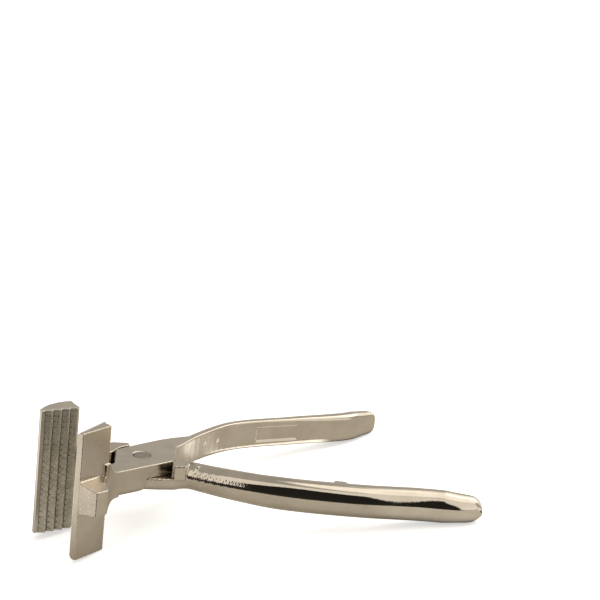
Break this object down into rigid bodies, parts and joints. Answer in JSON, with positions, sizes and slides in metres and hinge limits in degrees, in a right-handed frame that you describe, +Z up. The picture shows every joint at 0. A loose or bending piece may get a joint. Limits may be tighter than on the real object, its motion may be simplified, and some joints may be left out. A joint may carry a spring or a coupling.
{
  "type": "canvas pliers",
  "caption": "Stretcher pliers with wide serrated jaws, a hammer block behind the inner jaw and two bowed handles that turn on a riveted half-lap joint.",
  "frame": {"origin": "centre of the footprint, on the surface the pliers lie on", "axes": "+X from the jaws towards the open handle ends, +Y from the outer jaw's handle towards the inner jaw's handle, +Z up; the pliers lie on the inner jaw's lower edge and both handle ends, so the rivet's axis leans a few degrees off +Z"},
  "size_m": [0.2023, 0.1401, 0.0635],
  "materials": {
    "plated_casting": "polished",
    "rivet_steel": "satin"
  },
  "bodies": {
    "inner_half": {"inner_jaw_half": "plated_casting", "pivot_rivet": "rivet_steel"},
    "outer_half": {"outer_jaw_half": "plated_casting"}
  },
  "joints": [
    {"name": "plier_pivot", "type": "hinge", "parent": "inner_half", "child": "outer_half", "pos_m": [-0.04766, 0, 0.02678], "axis": [0.141, 0, 0.99], "range_deg": [-4, 35]}
  ]
}
